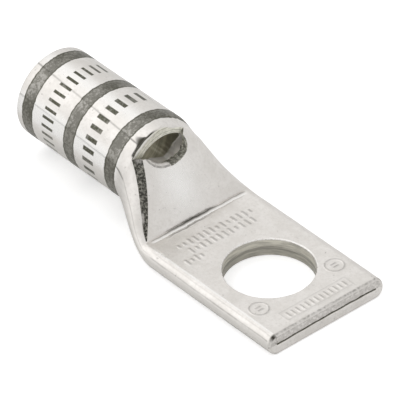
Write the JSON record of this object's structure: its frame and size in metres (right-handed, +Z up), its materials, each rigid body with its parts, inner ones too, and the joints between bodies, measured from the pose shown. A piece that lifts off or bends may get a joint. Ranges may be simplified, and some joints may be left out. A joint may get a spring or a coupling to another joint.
{
  "type": "copper cable lug",
  "caption": "Tubular copper cable lug: round barrel with a sight window, pressed down to a flat tongue with a stud hole.",
  "frame": {"origin": "on the axis of the stud hole, in the underside of the tongue", "axes": "+Z up along the stud hole, +X along the lug from the barrel towards the tip of the tongue, +Y across the tongue"},
  "size_m": [0.0605, 0.0216, 0.0155],
  "materials": {
    "tinned_copper": "satin electro-tinned copper, pale warm grey"
  },
  "bodies": {
    "root": {"cable_lug": "tinned_copper"}
  },
  "joints": []
}
